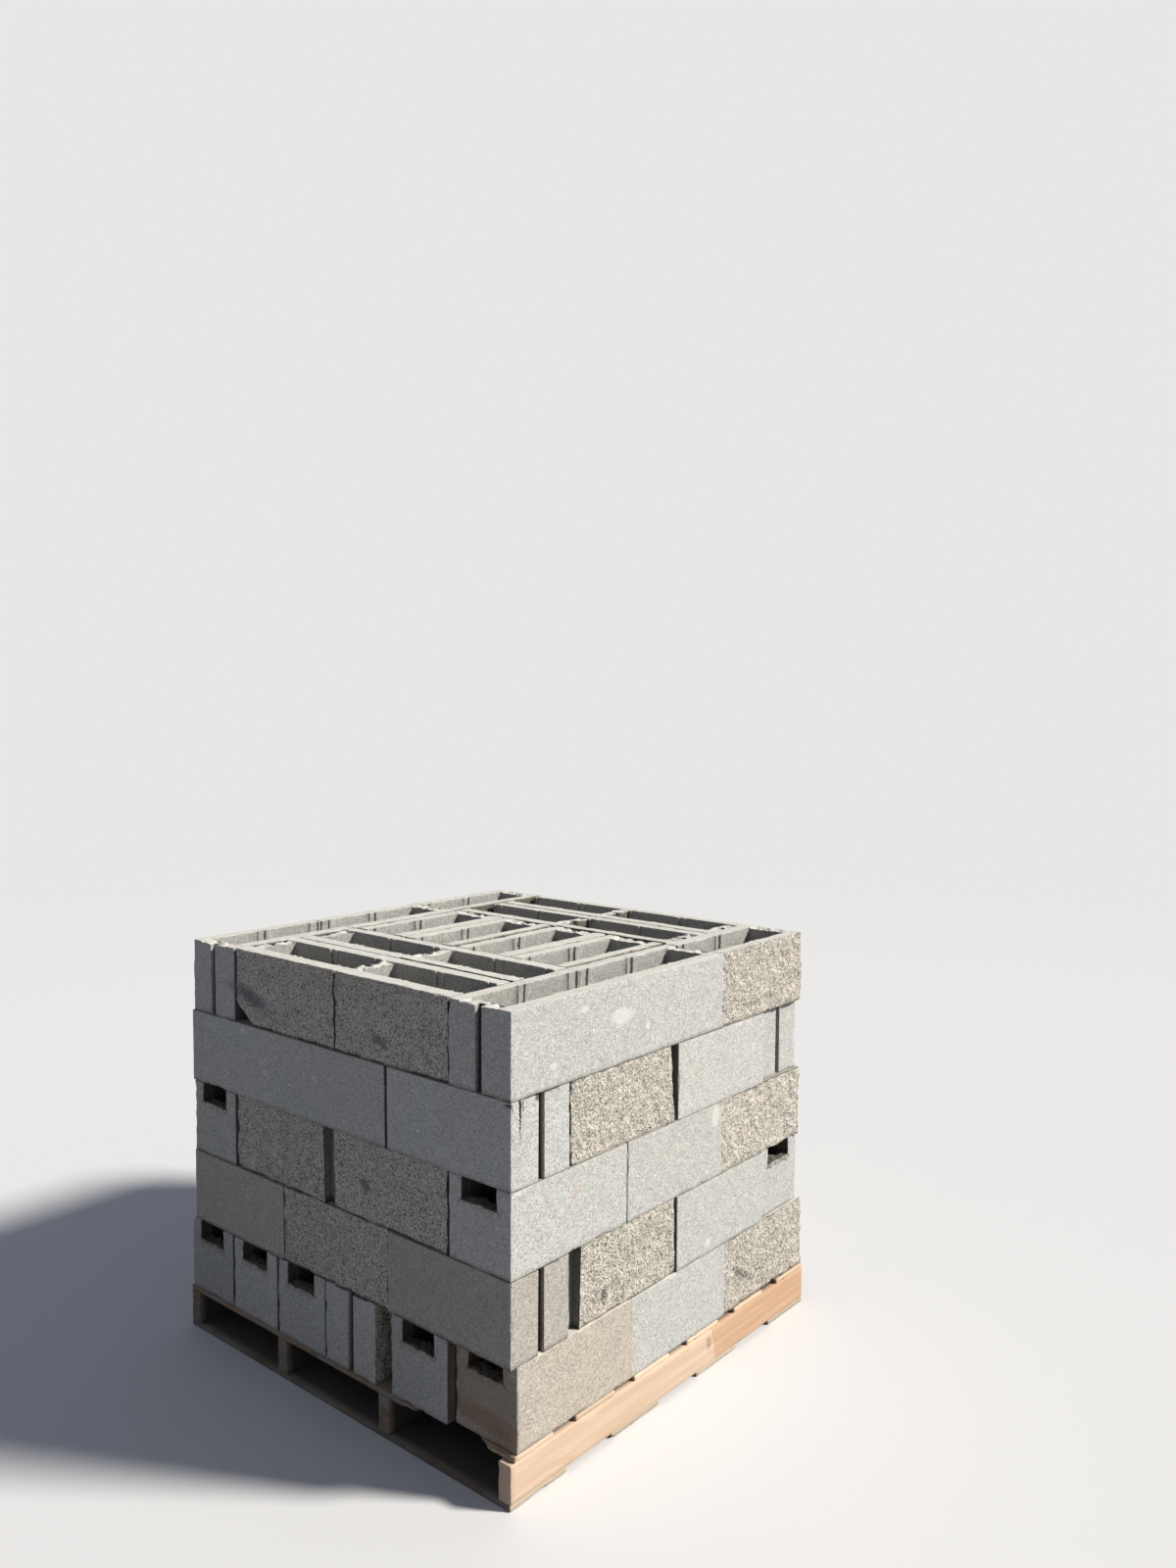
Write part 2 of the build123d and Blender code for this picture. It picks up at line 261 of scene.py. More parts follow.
# The pallet's timber: the axis of its grain, its two main colours, the colour and share of its weathering,
# and the colour of its sawn ends where they show
TIMBERS = {
    "deck_boards": (0, (0.36, 0.265, 0.175), (0.21, 0.15, 0.10), (0.30, 0.28, 0.25), 0.75, DECK_END),
    "bottom_boards": (0, (0.27, 0.215, 0.16), (0.17, 0.13, 0.095), (0.26, 0.245, 0.22), 0.85, BOTTOM_END),
    "aged_stringers": (1, (0.32, 0.25, 0.175), (0.20, 0.15, 0.105), (0.29, 0.275, 0.25), 0.65, None),
    "fresh_stringer": (1, (0.84, 0.64, 0.475), (0.76, 0.55, 0.385), (0.74, 0.575, 0.44), 0.3, None),
}
KNOT = (0.13, 0.07, 0.035)
# The colour of the wood inside the pallet: painted shade under the deck, with damp and dirt
DAMP_AND_SHADE = (0.075, 0.07, 0.065)

# How far along the fresh stringer its splice is, in metres, and the colours of its line and of its knot
SPLICE = 0.170
SPLICE_LINE = (0.45, 0.27, 0.16)
KNOT_SCAR = (0.42, 0.25, 0.16)

# How sharp the turn between two faces is where the shading breaks
SHARP_ANGLE = math.radians(38)

# Steps of a board's mesh: along its grain, across it, along the torn edge and at its edges
GRAIN_STEP = 14.0
BOARD_STEP = 11.0
TORN_STEP = 3.0
BOARD_EDGE = 2.5

# The light and the plain stage
SUN_TOWARDS = Vector((0.834, 0.551, math.tan(math.radians(38))))
SUN_STRENGTH = 4.75
SUN_WIDTH = math.radians(9)
SUN_COLOUR = (1.0, 0.965, 0.90)
SKY = (0.75, 0.81, 1.03)
SKY_STRENGTH = 0.212
BACKGROUND = (0.80, 0.80, 0.79)
FLOOR_SEEN = (0.76, 0.76, 0.76)
FLOOR_LIT = (0.20, 0.21, 0.225)
FLOOR_RADIUS = 60.0

# The photograph's view: where the camera is, its angles in degrees, and its lens and sensor in millimetres
CAMERA_PLACE = (2.323, -2.403, 1.718)
CAMERA_ANGLES = (-40.06, -3.69, 0.296)
LENS = 27.816
SENSOR_WIDTH = 36.0


def lattice(cells, seed):
    """A repeatable random number from 0 to 1 for each whole-number point."""
    mixed = cells[:, 0] * 374761393 + cells[:, 1] * 668265263 + cells[:, 2] * 1440662683 + seed * 974711
    mixed &= 0xFFFFFFFF
    mixed = ((mixed ^ (mixed >> 13)) * 1274126177) & 0xFFFFFFFF
    return ((mixed ^ (mixed >> 16)) & 0xFFFF) / 65535.0


def noise(points, size, seed):
    """Smooth noise from 0 to 1 with bumps of about this size."""
    scaled = points / size
    base = np.floor(scaled).astype(np.int64)
    part = scaled - base
    part = part * part * (3 - 2 * part)
    total = np.zeros(len(points))
    for corner in np.ndindex(2, 2, 2):
        weight = np.ones(len(points))
        for axis, side in enumerate(corner):
            weight *= part[:, axis] if side else 1 - part[:, axis]
        total += weight * lattice(base + np.array(corner), seed)
    return total


def chance(seed, kind):
    """A repeatable random number from 0 to 1 for one piece."""
    return noise(np.array([[seed * 1.37, 3.1, 7.7]]), 1.0, kind)[0]


def smooth_step(low, high, values):
    """0 up to the low value and 1 past the high one, with a soft step between them."""
    share = np.clip((values - low) / (high - low), 0, 1)
    return share * share * (3 - 2 * share)


def spaced(stops, step):
    """Grid lines through every stop, and no more than a step apart."""
    lines = []
    for low, high in zip(stops, stops[1:]):
        count = max(1, math.ceil((high - low) / step - 1e-6))
        lines.extend(low + (high - low) * index / count for index in range(count))
    return np.array(lines + [stops[-1]])


def grid_faces(solid):
    """The faces between filled and empty cells of a grid: corner indices, axis and direction."""
    padded = np.pad(solid, 1)
    corners, axes, signs = [], [], []
    for axis in range(3):
        along = np.moveaxis(padded, axis, 0)
        others = [other for other in range(3) if other != axis]
        for sign in (1, -1):
            exposed = along[:-1] & ~along[1:] if sign > 0 else ~along[:-1] & along[1:]
            plane, first, second = np.nonzero(exposed)
            ring = ((0, 0), (1, 0), (1, 1), (0, 1))
            quads = np.zeros((len(plane), 4, 3), np.int64)
            for place, (step_first, step_second) in enumerate(ring):
                quads[:, place, axis] = plane
                quads[:, place, others[0]] = first - 1 + step_first
                quads[:, place, others[1]] = second - 1 + step_second
            if (sign > 0) == (axis == 1):
                quads = quads[:, ::-1]
            corners.append(quads)
            axes.append(np.full(len(plane), axis))
            signs.append(np.full(len(plane), sign))
    return np.concatenate(corners), np.concatenate(axes), np.concatenate(signs)


def grid_mesh(lines, solid, cuts_of=None):
    """A closed mesh of a grid's filled cells. cuts_of says how many times the edges of each face are cut,
    from the faces' middles, axes and directions."""
    quads, axes, signs = grid_faces(solid)
    counts = [len(line) for line in lines]
    keys = np.ravel_multi_index(tuple(np.moveaxis(quads, -1, 0)), counts)
    used, index = np.unique(keys, return_inverse=True)
    index = index.reshape(-1, 4)
    columns = np.unravel_index(used, counts)
    points = np.stack([line[column] for line, column in zip(lines, columns)], axis=1)
    mesh = bpy.data.meshes.new("grid")
    mesh.from_pydata(points.tolist(), [], index.tolist())
    cuts = cuts_of(points[index].mean(axis=1), axes, signs) if cuts_of else np.zeros(len(index), int)
    if not cuts.any():
        return mesh
    mesh.polygons.foreach_set("material_index", cuts.astype(np.int32))
    shape = bmesh.new()
    shape.from_mesh(mesh)
    for count in sorted(set(cuts[cuts > 0].tolist()), reverse=True):
        faces = [face for face in shape.faces if face.material_index == count]
        edges = {
            edge
            for face in faces
            for edge in face.edges
            if all(other.material_index <= count for other in edge.link_faces)
        }
        bmesh.ops.subdivide_edges(shape, edges=list(edges), cuts=int(count), use_grid_fill=True)
    shape.to_mesh(mesh)
    shape.free()
    return mesh


def take_mesh(mesh):
    """A mesh's points, the point of each face corner and how many corners each face has. The mesh goes."""
    points = np.zeros(len(mesh.vertices) * 3)
    corners = np.zeros(len(mesh.loops), np.int32)
    totals = np.zeros(len(mesh.polygons), np.int32)
    mesh.vertices.foreach_get("co", points)
    mesh.loops.foreach_get("vertex_index", corners)
    mesh.polygons.foreach_get("loop_total", totals)
    bpy.data.meshes.remove(mesh)
    return points.reshape(-1, 3), corners, totals


def block_lines(detailed, top, rebate):
    """The grid lines of a block: close together at its outer edges if it shows, and at the corners of its
    cores too if it is in the top course, and else as few as will do."""
    half_length = LENGTH / 2
    x_stops = [-half_length, GROOVE_DEPTH - half_length, half_length]
    x_stops += [RIDGE_WIDTH - CENTRE_WEB / 2, CENTRE_WEB / 2 - RIDGE_WIDTH]
    x_stops += [half_length - END_WEB + RIDGE_WIDTH, half_length - RIDGE_WIDTH]
    y_half = [GROOVE_WIDTH / 2, CORE_SIDE - RIDGE, CORE_SIDE, WIDTH / 2]
    z_stops = [0.0, HEIGHT - WEB_DROP, HEIGHT]
    for start, end in CORES:
        for bend in (0.0, 0.35 * CORE_RADIUS, 0.9 * CORE_RADIUS) if top else (0.0,):
            x_stops += [start + bend, end - bend]
    if top:
        y_half += [CORE_SIDE - CORE_RADIUS]
    if detailed:
        x_stops += [EDGE_STEP - half_length, half_length - EDGE_STEP]
        y_half += [WIDTH / 2 - EDGE_STEP, CORE_SIDE + EDGE_STEP]
        z_stops += [EDGE_STEP, HEIGHT - EDGE_STEP]
    if rebate:
        x_stops += [half_length - REBATE_ALONG]
        y_half += [WIDTH / 2 - REBATE_INTO]
    y_stops = [-y for y in y_half] + y_half
    step = COARSE_STEP if detailed else LENGTH
    return [spaced(sorted(stops), step) for stops in (x_stops, y_stops, z_stops)]


def block_cells(lines, rebate):
    """Which cells of the grid are concrete. A rebate is on the side of this sign in Y."""
    middles = [(line[1:] + line[:-1]) / 2 for line in lines]
    x, y, z = np.meshgrid(*middles, indexing="ij")
    across = np.abs(y)
    from_right = LENGTH / 2 - x
    hollow = (across < GROOVE_WIDTH / 2) & (x < GROOVE_DEPTH - LENGTH / 2)
    for start, end in CORES:
        hollow |= (across < CORE_SIDE) & (x > start) & (x < end)
    web = (np.abs(x) < CENTRE_WEB / 2) | (from_right < END_WEB)
    between_ridges = np.abs(x) < CENTRE_WEB / 2 - RIDGE_WIDTH
    between_ridges |= (from_right > RIDGE_WIDTH) & (from_right < END_WEB - RIDGE_WIDTH)
    reach = np.where(between_ridges, CORE_SIDE, CORE_SIDE - RIDGE)
    hollow |= web & (z > HEIGHT - WEB_DROP) & (across < reach)
    hollow |= (from_right < REBATE_ALONG) & (rebate * y > WIDTH / 2 - REBATE_INTO)
    return ~hollow


def taper_cores(points):
    """Cores that narrow upwards: the shells and webs are thinner lower down."""
    x, y, z = points.T.copy()
    flare = (HEIGHT - z) * DRAFT
    across = np.abs(y)
    wider = np.where(across <= CORE_SIDE, flare * across / CORE_SIDE, flare * (WIDTH / 2 - across) / SHELL)
    points[:, 1] = np.sign(y) * (across + wider)
    knots = [-LENGTH / 2, *CORES[0], 0.0, *CORES[1], LENGTH / 2]
    points[:, 0] = x + flare * np.interp(x, knots, [0, -1, 1, 0, -1, 1, 0])


def round_cores(points):
    """Rounds the upright corners of both cores, as a grid of flat walls leaves them square."""
    moved = points.copy()
    for start, end in CORES:
        middle = (start + end) / 2
        from_walls = (CORE_LENGTH / 2 - np.abs(points[:, 0] - middle), CORE_SIDE - np.abs(points[:, 1]))
        near = (from_walls[0] > -NEAR) & (from_walls[1] > -NEAR)
        for axis, centre in ((0, middle), (1, 0.0)):
            wall, corner = from_walls[axis], from_walls[1 - axis]
            on_wall = near & (np.abs(wall) < NEAR) & (corner < CORE_RADIUS)
            corner = np.clip(corner, 0, CORE_RADIUS)
            drop = CORE_RADIUS - np.sqrt(CORE_RADIUS**2 - (CORE_RADIUS - corner) ** 2)
            drop = np.where(corner < NEAR, CORE_RADIUS * (1 - math.sqrt(0.5)), drop)
            step = -np.sign(points[:, axis] - centre) * drop
            moved[:, axis] += np.where(on_wall, step, 0)
    points[:] = moved


def side_gaps(shape, low, high):
    """Each side of a box: its axis, its inward direction and how far every point is from it."""
    gaps = [(axis, 1, shape[:, axis] - low[axis]) for axis in range(3)]
    return gaps + [(axis, -1, high[axis] - shape[:, axis]) for axis in range(3)]


def round_off(points, gaps, depth):
    """Presses in the edges between the sides of a box by a depth at each point."""
    for number, (axis, turn, gap) in enumerate(gaps):
        for other_axis, other_turn, other_gap in gaps[number + 1:]:
            if axis != other_axis:
                shift = np.clip(depth - np.maximum(gap, other_gap), 0, None) / 2
                points[:, axis] += turn * shift
                points[:, other_axis] += other_turn * shift


def wear_edges(points, seed, closed_end):
    """Breaks a block's outer edges and the top edges of its cores, more in some places than in others, but
    not the upright edges of an end that is pushed up close to the next block."""
    shape = points.copy()
    x, y, z = shape.T
    place = points + seed * 37.0
    chips = smooth_step(0.62, 0.9, noise(place, 30.0, seed)) * noise(place, 7.0, seed + 1)
    depth = 0.5 + 0.9 * noise(place, 11.0, seed + 2) + 8.0 * chips
    if closed_end:
        at_end = closed_end * x > LENGTH / 2 - SHARP_ALONG
        depth[at_end & (z > SHARP_FROM) & (z < HEIGHT - SHARP_FROM)] = 0
    low, high = (-LENGTH / 2, -WIDTH / 2, 0.0), (LENGTH / 2, WIDTH / 2, HEIGHT)
    round_off(points, side_gaps(shape, low, high), depth)
    wall_gap = np.abs(y) - CORE_SIDE
    inner = (wall_gap > -0.01) & (np.abs(x) < LENGTH / 2 - 2)
    shift = np.clip(0.6 * depth - np.maximum(HEIGHT - z, wall_gap), 0, None) / 2 * inner
    points[:, 2] -= shift
    points[:, 1] += np.sign(y) * shift


def break_webs(points, shape, seed):
    """Rough tops of the webs: lumps where they were knocked out low, and a worn one at the grooved end."""
    x, y, z = shape.T
    across = np.abs(y)
    place = shape + seed * 53.0
    lumps = noise(place, 16.0, seed + 3) * 14 + noise(place, 6.0, seed + 4) * 6 - 8
    lumps *= np.clip(0.4 + (LENGTH / 2 - x) / 25.0, 0.4, 1)
    above_low_top = z - (HEIGHT - WEB_DROP)
    knocked_out = (x > -CENTRE_WEB / 2 - NEAR) & (across < CORE_SIDE + NEAR)
    points[:, 2] += np.where(knocked_out & (np.abs(above_low_top) < NEAR), lumps, 0)
    in_web = (np.abs(x) < CENTRE_WEB / 2 + NEAR) | (x > LENGTH / 2 - END_WEB - NEAR)
    ridge = knocked_out & in_web & (above_low_top > NEAR) & (across > CORE_SIDE - RIDGE - NEAR)
    ragged = (noise(place, 9.0, seed + 5) - 0.5) * 3.2
    points[:, 1] += np.where(ridge, np.sign(y) * ragged, 0)
    high_top = (z > HEIGHT - NEAR) & (x < END_WEB - LENGTH / 2 + NEAR) & (across < CORE_SIDE - 2)
    dips = smooth_step(0.3, 0.8, noise(place, 14.0, seed + 6)) * 6 + noise(place, 5.0, seed + 7) * 3
    points[:, 2] -= np.where(high_top, dips, 0)


def split_relief(shape, seed):
    """How far a split face lies behind the mould's face: a broad swell with slanting ridges and broken
    stone on it."""
    x, y, z = shape.T
    place = shape + seed * 71.0
    slanted = np.stack([(x - z) / 2, y, x + z], axis=1) + seed * 71.0
    layers = (
        (2.8, place, 95.0, 8),
        (5.2, slanted, 30.0, 9),
        (4.2, place, 24.0, 13),
        (3.2, place, 12.0, 10),
        (1.4, place, 6.0, 11),
    )
    relief = sum(depth * noise(spot, size, seed + kind) for depth, spot, size, kind in layers)
    return relief + 2.5 * smooth_step(0.72, 0.95, noise(place, 42.0, seed + 12)) - 3.2


def press(points, shape, axis, side, depth):
    """Moves an end (axis 0) or a long side (axis 1) inwards by a depth at each point, and what lies close
    behind it too. The side is -1 or 1."""
    gap = (LENGTH, WIDTH)[axis] / 2 - side * shape[:, axis]
    share = np.clip(1 - gap / CHANGE_DEPTH, 0, 1)
    points[:, axis] -= side * depth * share


def near_side(shape, side):
    """1 near a long side (-1 or 1), and 0 further in than a broken corner goes."""
    return np.clip((BROKEN_INTO - WIDTH / 2 + side * shape[:, 1]) / BROKEN_FADE, 0, 1)


def break_low_corner(points, shape):
    """A wedge gone from the foot of the grooved end, behind the -Y face. Gives the points of the break."""
    ragged = 5.0 * (noise(shape, 9.0, 91) - 0.5)
    reach = LOW_CORNER_ALONG * np.clip(1 - shape[:, 2] / LOW_CORNER_HEIGHT, 0, 1)
    near_end = np.clip(1 - (shape[:, 0] + LENGTH / 2) / (2 * LOW_CORNER_ALONG), 0, 1)
    near_face = near_side(shape, -1)
    points[:, 0] += (reach + ragged * (reach > 0)) * near_end * near_face
    return (reach > 1) & (near_end > 0.99) & (near_face > 0)


def wear_corner(points, shape, side_x, side_y, foot, top):
    """Sets an upright corner back, by one depth at its foot and another at its top."""
    reach = foot + (top - foot) * shape[:, 2] / HEIGHT + 3.0 * (noise(shape, 12.0, 57) - 0.5)
    near_end = np.clip(1 - (LENGTH / 2 - side_x * shape[:, 0]) / WORN_ALONG, 0, 1)
    points[:, 0] -= side_x * reach * near_end * near_side(shape, side_y)


class Block:
    """One block of the stack: how it lies, which of its sides show, and what has happened to it. A side is
    given as the block's own direction in X and Y."""

    def __init__(self, name, number, box, turn, split):
        self.key = (name, number)
        self.course = int(name.split("_")[1])
        self.box = box
        angle = math.radians(turn)
        self.cosine, self.sine = math.cos(angle), math.sin(angle)
        shown = {
            "left": box[0].x < cad_low.x + NEAR_OUTSIDE,
            "right": box[1].x > cad_high.x - NEAR_OUTSIDE or self.key in OPEN_RIGHT,
            "front": box[0].y < cad_low.y + NEAR_OUTSIDE,
            "back": box[1].y > cad_high.y - NEAR_OUTSIDE,
        }
        self.sides = {self.own_side(side) for side, is_shown in shown.items() if is_shown}
        self.front = self.own_side("front")
        self.split_side = self.own_side(split) if split else None
        self.top = self.course == TOP_COURSE
        self.detailed = self.top or bool(self.sides)
        self.seed = sum(ord(letter) for letter in name) * 13 + number * 101
        self.rebate = REBATED.get(self.key, 0)

    def own_side(self, side):
        """A side of the stack as the block's own direction."""
        x, y = FACING[side]
        return round(x * self.cosine + y * self.sine), round(y * self.cosine - x * self.sine)

    def cuts(self, middles, axes, signs):
        """How many times the edges of each face are cut."""
        cuts = np.zeros(len(middles), int)
        if not self.detailed:
            return cuts
        for sign in (-1, 1):
            if (0, sign) in self.sides:
                on_side = (axes == 1) & (signs == sign) & (np.abs(middles[:, 1]) > WIDTH / 2 - NEAR)
                cuts[on_side] = 3 if self.split_side == (0, sign) else 1
            if (sign, 0) in self.sides:
                on_end = (axes == 0) & (signs == sign) & (np.abs(middles[:, 0]) > LENGTH / 2 - NEAR)
                cuts[on_end] = 1
        upward = (axes == 2) & (signs > 0)
        if self.top:
            inner = self.key[0] == "course_5_middle_blocks"
            cuts[upward & (middles[:, 2] > HEIGHT - WEB_DROP - 1)] = 1 if inner else 2
        elif (1, 0) in self.sides:
            cuts[upward & (middles[:, 0] > CENTRE_WEB) & (middles[:, 2] < HEIGHT - 1)] = 2
        return cuts

    def break_faces(self, points, shape):
        """Breaks and wears what shows. Gives how broken the block is at each point."""
        x, y, z = shape.T
        break_webs(points, shape, self.seed)
        closed_end, closed_by = CLOSED_UP.get(self.key, (0, 0.0))
        wear_edges(points, self.seed, closed_end)
        low_web = (np.abs(z - (HEIGHT - WEB_DROP)) < NEAR) & (np.abs(y) < CORE_SIDE - 1)
        broken = 1.0 * (low_web & (x > -CENTRE_WEB / 2 - NEAR))
        for side in (-1, 1):
            if self.split_side == (0, side):
                press(points, shape, 1, side, self.split_depth(shape))
                broken = np.maximum(broken, WIDTH / 2 - side * y < NEAR)
            else:
                lean = 0.8 * (chance(self.seed, 5) - 0.5) * z / HEIGHT
                press(points, shape, 1, side, 0.9 + lean + 0.5 * noise(shape, 60.0, self.seed + 20))
            inset = 0.3 + 0.9 * chance(self.seed, 6 + side) + 0.5 * noise(shape, 60.0, self.seed + 21)
            press(points, shape, 0, side, -closed_by if side == closed_end else inset)
        if self.key in WORN_CORNER:
            wear_corner(points, shape, *WORN_CORNER[self.key])
        if self.key == LOW_CORNER:
            broken = np.maximum(broken, break_low_corner(points, shape))
        return broken

    def split_depth(self, shape):
        """How far the split face lies back at each point, evened out towards a rebate."""
        relief = split_relief(shape, self.seed) - PROUD.get(self.key, 0.0)
        if not self.rebate:
            return relief
        to_edge = LENGTH / 2 - REBATE_ALONG - shape[:, 0]
        return REBATE_RELIEF + (relief - REBATE_RELIEF) * np.clip(to_edge / REBATE_FADE, 0.15, 1)

    def painted_shade(self, shape):
        """How dark the painted shade is at each point, in the groove, the rebate, the cores and the joints.
        """
        x, y, z = shape.T
        across = np.abs(y)
        half_length = LENGTH / 2
        in_groove = (across < GROOVE_WIDTH / 2 + NEAR) & (x < GROOVE_DEPTH - half_length + NEAR)
        in_groove &= x > MOUTH - half_length
        inward = WIDTH / 2 - self.rebate * y
        in_rebate = (x > half_length - REBATE_ALONG - NEAR) & (inward > 1) & (inward < REBATE_INTO + NEAR)
        at_joint = in_rebate & ((x > half_length - MOUTH) | (z < MOUTH))
        in_cores = (across < CORE_SIDE + NEAR) & (x > END_WEB - half_length - NEAR)
        in_cores &= (x < half_length - EDGE_STEP + NEAR) & (z < HEIGHT - NEAR)
        # Painted shade in the cores. In the top course it is darker low down.
        shade_in_cores = np.interp(z, (0.0, HEIGHT), TOP_CORE_SHADE) if self.top else CORE_SHADE
        # Painted shade: full in the groove and at the rebate's joint, lighter over the rebate's walls
        painted_shade = np.maximum(in_groove | at_joint, REBATE_SHADE * in_rebate)
        painted_shade = np.maximum(painted_shade, shade_in_cores * in_cores)
        return np.maximum(painted_shade, self.painted_joint_shade(shape)) if self.detailed else painted_shade

    def painted_joint_shade(self, shape):
        """How dark the painted shade is in the joints: on the sides that meet other blocks, along the line
        below a course, and on what lies under the next one."""
        x, y, z = shape.T
        # Painted shade on the tops that the next course covers
        painted_shade = UNDER_COURSE_SHADE * ((z > HEIGHT - NEAR) & (1 < self.course < TOP_COURSE))
        patches = 0.6 + 0.4 * smooth_step(0.3, 0.5, noise(shape + self.seed * 29.0, 36.0, self.seed + 15))
        gaps = {(sign, 0): LENGTH / 2 - sign * x for sign in (1, -1)}
        gaps |= {(0, sign): WIDTH / 2 - sign * y for sign in (1, -1)}
        off_rim = np.ones(len(shape), bool)
        for side in self.sides:
            off_rim &= gaps[side] > 1.0
        for side, gap in gaps.items():
            if side in self.sides:
                # Painted shadow line along the foot of each side that shows
                reach = SPLIT_LINE_REACH if side == self.split_side else LINE_REACH
                strength = BED_LINES[self.course][0 if side == self.front else 1]
                line = strength * patches * np.clip(1.5 - z / reach, 0, 1)
                painted_shade = np.maximum(painted_shade, np.where(gap < NEAR, line, 0))
            else:
                # Painted shade on the sides that meet other blocks
                met = (gap < NEAR) & off_rim & (z < HEIGHT - 1)
                painted_shade = np.maximum(painted_shade, MET_SIDE_SHADE * met)
        return painted_shade

    def placed(self, points):
        """Points of the block, in the stack and in metres."""
        x, y, z = points.T / 1000
        middle = (self.box[0] + self.box[1]) / 2
        across = x * self.cosine - y * self.sine + middle.x
        back = x * self.sine + y * self.cosine + middle.y
        return np.stack([across, back, z + self.box[0].z], axis=1)


def make_block(block):
    """One block as points in metres, its faces, and what its paint has to know at each point."""
    lines = block_lines(block.detailed, block.top, block.rebate)
    shape, corners, totals = take_mesh(grid_mesh(lines, block_cells(lines, block.rebate), block.cuts))
    points = shape.copy()
    if block.top:
        round_cores(points)
    taper_cores(points)
    broken = block.break_faces(points, shape) if block.detailed else np.zeros(len(points))
    tone = 0.93 + 0.13 * chance(block.seed, 31) - DARKER.get(block.key, 0.0)
    labels = {
        "broken": broken,
        # deep is how dark the painted shade is at each point
        "deep": block.painted_shade(shape),
        "tone": np.full(len(points), tone),
        "brown": np.full(len(points), BROWN.get(block.key, 0.0)),
    }
    return block.placed(points), corners, totals, labels


def islands(node):
    """The boxes of a node's separate solids, from front to back and then left to right."""
    shape = bmesh.new()
    shape.from_mesh(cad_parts[node].data)
    bmesh.ops.remove_doubles(shape, verts=shape.verts, dist=1e-6)
    left = set(shape.verts)
    boxes = []
    while left:
        ring = [left.pop()]
        points = []
        while ring:
            vertex = ring.pop()
            points.append(vertex.co.copy())
            for edge in vertex.link_edges:
                other = edge.other_vert(vertex)
                if other in left:
                    left.discard(other)
                    ring.append(other)
        boxes.append((Vector(np.min(points, axis=0)), Vector(np.max(points, axis=0))))
    shape.free()
    return sorted(boxes, key=lambda box: (round((box[0].y + box[1].y) / 2, 2), box[0].x))


def add_object(name, data):
    """A new object in the scene."""
    added = bpy.data.objects.new(name, data)
    bpy.context.scene.collection.objects.link(added)
    return added


def make_object(name, parts, material, node):
    """One object from several meshes' points and faces, standing for a CAD node."""
    mesh = bpy.data.meshes.new(name)
    starts = np.cumsum([0] + [len(part[0]) for part in parts[:-1]])
    points = np.concatenate([part[0] for part in parts]).astype(np.float32)
    corners = np.concatenate([part[1] + start for part, start in zip(parts, starts)]).astype(np.int32)
    totals = np.concatenate([part[2] for part in parts])
    mesh.vertices.add(len(points))
    mesh.vertices.foreach_set("co", points.ravel())
    mesh.loops.add(len(corners))
    mesh.loops.foreach_set("vertex_index", corners)
    mesh.polygons.add(len(totals))
    mesh.polygons.foreach_set("loop_start", np.concatenate([[0], np.cumsum(totals)[:-1]]).astype(np.int32))
    mesh.polygons.foreach_set("use_smooth", np.ones(len(totals), bool))
    mesh.update(calc_edges=True)
    mesh.validate()
    for label in parts[0][3]:
        values = np.concatenate([part[3][label] for part in parts]).astype(np.float32)
        mesh.attributes.new(label, "FLOAT", "POINT").data.foreach_set("value", values)
    mesh.set_sharp_from_angle(angle=SHARP_ANGLE)
    mesh.materials.append(material)
    piece = add_object(name, mesh)
    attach(piece, "root")
    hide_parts(node)
    return piece


def plank(node, along, seed, edge=None):
    """A sawn board or stringer over a CAD node's box, a little wavy, with its edges worn. edge(shape, low,
    high) gives how far the front edge is torn back at each point, in millimetres."""
    low, high = (1000 * Vector(corner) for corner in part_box(node))
    lines = []
    for axis in range(3):
        step = GRAIN_STEP if axis == along else BOARD_STEP
        if edge and axis == 0:
            step = TORN_STEP
        stops = [low[axis], low[axis] + BOARD_EDGE, high[axis] - BOARD_EDGE, high[axis]]
        lines.append(spaced(stops, min(step, (high[axis] - low[axis]) / 2)))
    shape, corners, totals = take_mesh(grid_mesh(lines, np.ones([len(line) - 1 for line in lines], bool)))
    points = shape.copy()
    place = shape.copy()
    place[:, along] /= 6
    chips = smooth_step(0.66, 0.95, noise(place, 14.0, seed + 1))
    gaps = side_gaps(shape, low, high)
    round_off(points, gaps, 0.8 + 1.2 * noise(place, 9.0, seed + 2) + 5.0 * chips)
    for axis, turn, gap in gaps:
        near = np.clip(1 - gap / 5.0, 0, 1)
        swell = 0.5 * noise(place, 70.0, seed + 3 + axis) + 0.35 * noise(place, 12.0, seed + 6 + axis)
        if axis == along:
            swell += 1.5 * noise(shape, 6.0, seed + 9)
        points[:, axis] += turn * near * swell
    torn = np.zeros(len(points))
    if edge:
        depth_share = (high[1] - shape[:, 1]) / (high[1] - low[1])
        reach = edge(shape, low, high)
        points[:, 1] += reach * depth_share
        torn = (reach > 3) * (depth_share > 0.93)
    return points / 1000, corners, totals, {"broken": torn, "tone": np.full(len(points), chance(seed, 77))}


